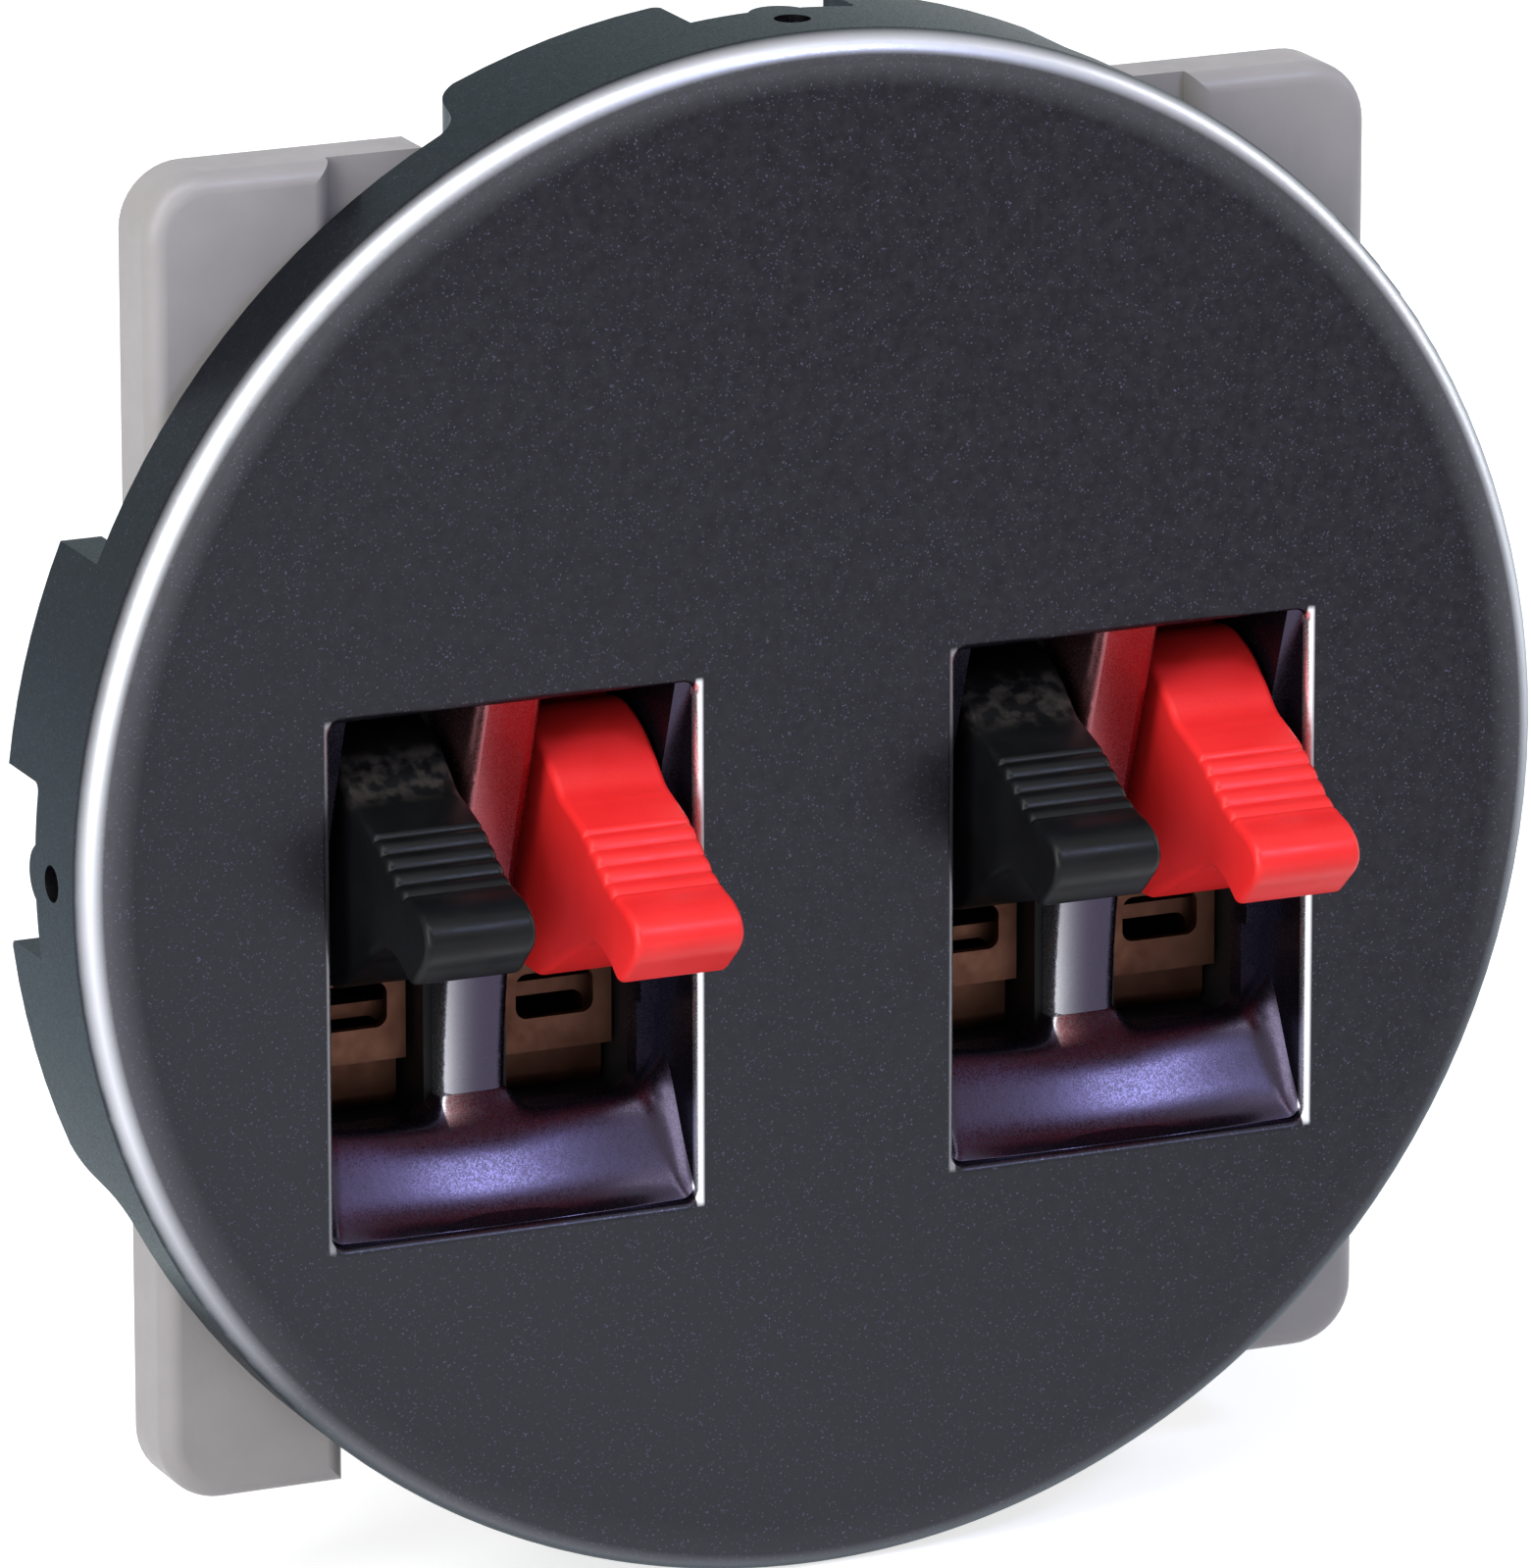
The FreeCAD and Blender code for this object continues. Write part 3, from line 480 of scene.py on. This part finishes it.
def cap_paint():
    mat, tree, shader = principled("cap_graphite")
    x, y, z = coordinates(tree)
    cells = tree.nodes.new("ShaderNodeTexVoronoi")
    cells.inputs["Scale"].default_value = FLAKE_SCALE
    tree.links.new(object_coordinates(tree), cells.inputs["Vector"])
    chance = tree.nodes.new("ShaderNodeSeparateColor")
    tree.links.new(cells.outputs["Color"], chance.inputs[0])
    # shares of the window inside, of the painted highlights and of the painted red reflection
    inside, painted_highlight, red = window_shares(tree, x, y, z)

    paint = ramp(tree, noise(tree, GROUND_SCALE, 6.0), ((0.3, GROUND_DARK), (0.7, GROUND_LIGHT)))
    # painted lighting gradient: the face turns lighter towards the lower left
    slant = calculate(tree, "ADD", z, product(tree, x, LIGHTING_GRADIENT_SLANT))
    paint = mix_colour(tree, map_place(tree, slant, LIGHTING_GRADIENT_SPAN, 1.0, 0.0), paint, PAINTED_LIGHT_LOWER_LEFT)
    flake = map_range(tree, chance.outputs[0], (FLAKE_RARITY, 1.0), 0.0, FLAKE_SHARE)
    paint = mix_colour(tree, flake, paint, FLAKE_COLOUR)
    paint = mix_colour(tree, inside, paint, WINDOW_COLOUR)
    # painted reflection of the red lever on the ribs
    paint = mix_colour(tree, red, paint, RIB_PAINTED_RED_REFLECTION)
    # painted highlight on the window lips and the ribs' left sides
    paint = mix_colour(tree, painted_highlight, paint, LIP_AND_RIB_PAINTED_HIGHLIGHT)
    # painted highlight along the rim, faded to the lower right
    paint = mix_colour(tree, rim_highlight_share(tree, x, y, z), paint, RIM_PAINTED_HIGHLIGHT)
    tree.links.new(paint, shader.inputs["Base Color"])

    rough = map_range(tree, chance.outputs[1], (0.0, 1.0), *CAP_ROUGHNESS)
    rough = calculate(tree, "SUBTRACT", rough, product(tree, inside, WINDOW_SMOOTHER))
    tree.links.new(rough, shader.inputs["Roughness"])
    shader.inputs["Metallic"].default_value = CAP_METALLIC
    shader.inputs["Specular IOR Level"].default_value = CAP_SPECULAR
    shader.inputs["Specular Tint"].default_value = CAP_TINT
    shader.inputs["Coat Weight"].default_value = CAP_COAT
    shader.inputs["Coat Roughness"].default_value = CAP_COAT_ROUGHNESS
    bump(tree, shader, noise(tree, 2500.0), 0.35)
    return mat


# Pieces


def new_piece(name, bm, body, slot):
    mesh = bpy.data.meshes.new(name)
    bm.to_mesh(mesh)
    bm.free()
    mesh.materials.append(finishes[slot])
    obj = add_to_scene(name, mesh)
    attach(obj, body)
    return obj


def curve_points(points, step):
    # smooth curve through the points, at nearly even steps
    first = [points[0]] + list(points) + [points[-1]]
    found = []
    for i in range(1, len(first) - 2):
        a, b, c, d = (Vector(p) for p in first[i - 1:i + 3])
        count = max(2, int((c - b).length / step))
        for k in range(count):
            t = k / count
            found.append(0.5 * (
                2 * b + (c - a) * t + (2 * a - 5 * b + 4 * c - d) * t * t + (3 * b - a - 3 * c + d) * t ** 3
            ))
    found.append(Vector(points[-1]))
    return found


def hub_point(degrees):
    # on the round back of the lever, counted from its front over its foot
    turn = math.radians(degrees)
    return Vector((PIVOT[0] - HUB_RADIUS * math.cos(turn), PIVOT[1] - HUB_RADIUS * math.sin(turn)))


def lever_line():
    # closed outline of a lever without its ridges
    line = curve_points(THUMB, THUMB_STEP)
    for a, b in zip((THUMB[-1],) + HEEL, HEEL):
        for k in range(HEEL_STEPS):
            line.append(Vector(a).lerp(Vector(b), (k + 1) / HEEL_STEPS))
    line += [hub_point(degrees) for degrees in HUB_TURNS]
    above_pin = Vector((PIVOT[0], THUMB[0][1]))
    line += [above_pin.lerp(Vector(THUMB[0]), k / TOP_STEPS) for k in range(TOP_STEPS)]
    clean = []
    for p in line:
        if not clean or (p - clean[-1]).length > LEAST_STEP:
            clean.append(p)
    return clean


def outward_normals(line):
    count = len(line)
    normals = []
    for i in range(count):
        along = line[(i + 1) % count] - line[i - 1]
        normals.append(Vector((along.y, -along.x)).normalized())
    area = sum(line[i - 1].x * line[i].y - line[i].x * line[i - 1].y for i in range(count))
    return [-n for n in normals] if area < 0 else normals


def ridge(point):
    # how far the ridges stand out of the outline at a point of it
    depth, height = point
    share = (RIDGE_FIRST - depth) / RIDGE_PITCH
    last = RIDGE_COUNT - 0.5
    if height < RIDGE_LOWEST or not -0.5 < share < last:
        return 0.0
    ends = min(1.0, (share + 0.5) / RIDGE_RUN_OUT, (last - share) / RIDGE_RUN_OUT)
    return RIDGE_RISE * ends - RIDGE_DEPTH * (1.0 - abs(math.sin(math.pi * share)) ** RIDGE_SHARPNESS)


def lever_ring(bm, line, normals, x, inset, tilt):
    # the outline at one place across the lever, drawn in by inset and turned about the pin
    ring = []
    for p, n in zip(line, normals):
        q = p + n * (ridge(p) - inset)
        y = q.x - PIVOT[0]
        z = q.y - PIVOT[1]
        turned_y = y * math.cos(tilt) - z * math.sin(tilt) + PIVOT[0] - FACE_DEPTH
        turned_z = y * math.sin(tilt) + z * math.cos(tilt) + PIVOT[1]
        ring.append(bm.verts.new(Vector((x, turned_y, turned_z)) * MM))
    return ring


def lever_rings(bm, centre, tilt):
    line = lever_line()
    normals = outward_normals(line)
    quarter = [math.radians(90 * k / ROUND_STEPS) for k in range(ROUND_STEPS + 1)]
    rings = []
    for across, turns in ((-1, reversed(quarter)), (1, quarter)):
        for turn in turns:
            x = centre + across * (LEVER_WIDTH / 2 - LEVER_ROUND * (1 - math.sin(turn)))
            inset = LEVER_ROUND * (1 - math.cos(turn))
            rings.append(lever_ring(bm, line, normals, x, inset, tilt))
    return rings


def lever(side, colour):
    # push lever with ridges and rounded side edges
    centre = window_centre(side) + (-1 if colour == "black" else 1) * LEVER_PITCH / 2
    tilt = math.radians(RED_TILT if colour == "red" else 0.0)
    bm = bmesh.new()
    rings = lever_rings(bm, centre, tilt)
    for a, b in zip(rings, rings[1:]):
        for i in range(len(a)):
            face = bm.faces.new((a[i - 1], a[i], b[i], b[i - 1]))
            face.smooth = True
    for ring in (rings[0], rings[-1]):
        for corners in tessellate_polygon([[v.co / MM for v in ring]]):
            bm.faces.new([ring[i] for i in corners])
    bmesh.ops.recalc_face_normals(bm, faces=bm.faces)
    node = side + "_" + colour + "_lever"
    piece = new_piece(node + "_detail", bm, node, "lever_" + colour)
    normal = piece.modifiers.new("flat_sides", "WEIGHTED_NORMAL")
    normal.keep_sharp = True
    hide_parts(node)


def window_centre(side):
    return (-1 if side == "left" else 1) * WINDOW_PITCH / 2


def cos_steps(low, high, count):
    # steps from low to high that are finer towards both ends
    middle = (low + high) / 2
    half = (high - low) / 2
    return [middle - half * math.cos(math.pi * k / count) for k in range(count + 1)]


def fillet_height(gap, radius):
    # height of a hollow fillet at a distance from the wall that it rises to
    if gap >= radius:
        return 0.0
    return FILLET_SHARE * radius * (1.0 - max(gap, 0.0) / radius) ** FILLET_POWER


def scoop_height(x, depth):
    # dished ramp of a window, with hollow fillets to the side walls and round the foot of the rib
    share = min(max((depth - SCOOP_START) / (SHELF_FRONT - SCOOP_START), 0.0), 1.0)
    rise = share ** 3 * (share * (6 * share - 15) + 10)
    base = WINDOW_BOTTOM + (SHELF_HEIGHT - WINDOW_BOTTOM) * rise
    half = WINDOW_WIDTH / 2
    bowl = BOWL_DEPTH * (abs(x) / half) ** 2 * math.sin(math.pi * share) ** BOWL_FADE
    wall = fillet_height(half - abs(x), WALL_FILLET_FRONT + WALL_FILLET_GROWTH * share)
    past_side = max(abs(x) - RIB_HALF, 0.0)
    past_front = max(SHELF_FRONT + FOOT_AHEAD - depth, 0.0)
    foot = fillet_height(math.hypot(past_side, past_front), FOOT_FILLET)
    return base + SCOOP_LIFT + bowl + wall + foot


def scoop(side):
    centre = window_centre(side)
    half = WINDOW_WIDTH / 2
    left = cos_steps(-half, 0.0, SCOOP_STEPS_ACROSS)
    right = cos_steps(0.0, half, SCOOP_STEPS_ACROSS)
    bm = bmesh.new()
    rows = []
    for depth in cos_steps(SCOOP_FRONT, SHELF_BACK - SCOOP_BACK_GAP, SCOOP_STEPS_DEEP):
        row = []
        for x in left[:-1] + right:
            place = Vector((centre + x, depth - FACE_DEPTH, scoop_height(x, depth)))
            row.append(bm.verts.new(place * MM))
        rows.append(row)
    for a, b in zip(rows, rows[1:]):
        for i in range(len(a) - 1):
            face = bm.faces.new((a[i], a[i + 1], b[i + 1], b[i]))
            face.smooth = True
    piece = new_piece(side + "_scoop", bm, "plate", "cap_graphite")
    thick = piece.modifiers.new("thickness", "SOLIDIFY")
    thick.thickness = SCOOP_THICKNESS * MM
    thick.offset = -1.0


def paint_solids():
    # each solid's material is swapped for the finish of the same name
    for obj in nodes.values():
        for number, material in enumerate(obj.data.materials):
            slot = material.name.split(".")[0] if material else ""
            if slot in finishes:
                obj.material_slots[number].material = finishes[slot]


bpy.context.scene.view_settings.view_transform = "Standard"
camera()
floor()
surroundings()
for settings in LAMPS:
    lamp(*settings)

# Finish of each material slot: darker and lighter tone, roughness and, for plastic, gloss
finishes = {
    "cap_graphite": cap_paint(),
    "frame_grey": plastic("frame_grey", (0.32, 0.30, 0.295), (0.345, 0.322, 0.317), 0.38, 0.4),
    "body_grey": plastic("body_grey", (0.42, 0.39, 0.38), (0.46, 0.43, 0.42), 0.45, 0.35),
    "housing_black": plastic("housing_black", (0.006, 0.006, 0.006), (0.008, 0.008, 0.009), 0.5, 0.2),
    # black levers: painted highlight behind the ridges
    "lever_black": plastic_with_painted_highlight(
        "lever_black", (0.0035, 0.0036, 0.0038), (0.0055, 0.0058, 0.0062), 0.33, 0.16,
    ),
    "lever_red": plastic("lever_red", (0.84, 0.022, 0.022), (0.90, 0.028, 0.028), 0.38, 0.3),
    # copper leaves painted far darker than copper, as painted shade for the shadow deep in the openings
    "spring_copper": metal("spring_copper", (0.070, 0.030, 0.020), (0.13, 0.062, 0.042), 0.5),
    "steel": metal("steel", (0.50, 0.50, 0.51), (0.58, 0.58, 0.59), 0.3),
}
paint_solids()

for side in ("left", "right"):
    scoop(side)
    for colour in ("black", "red"):
        lever(side, colour)
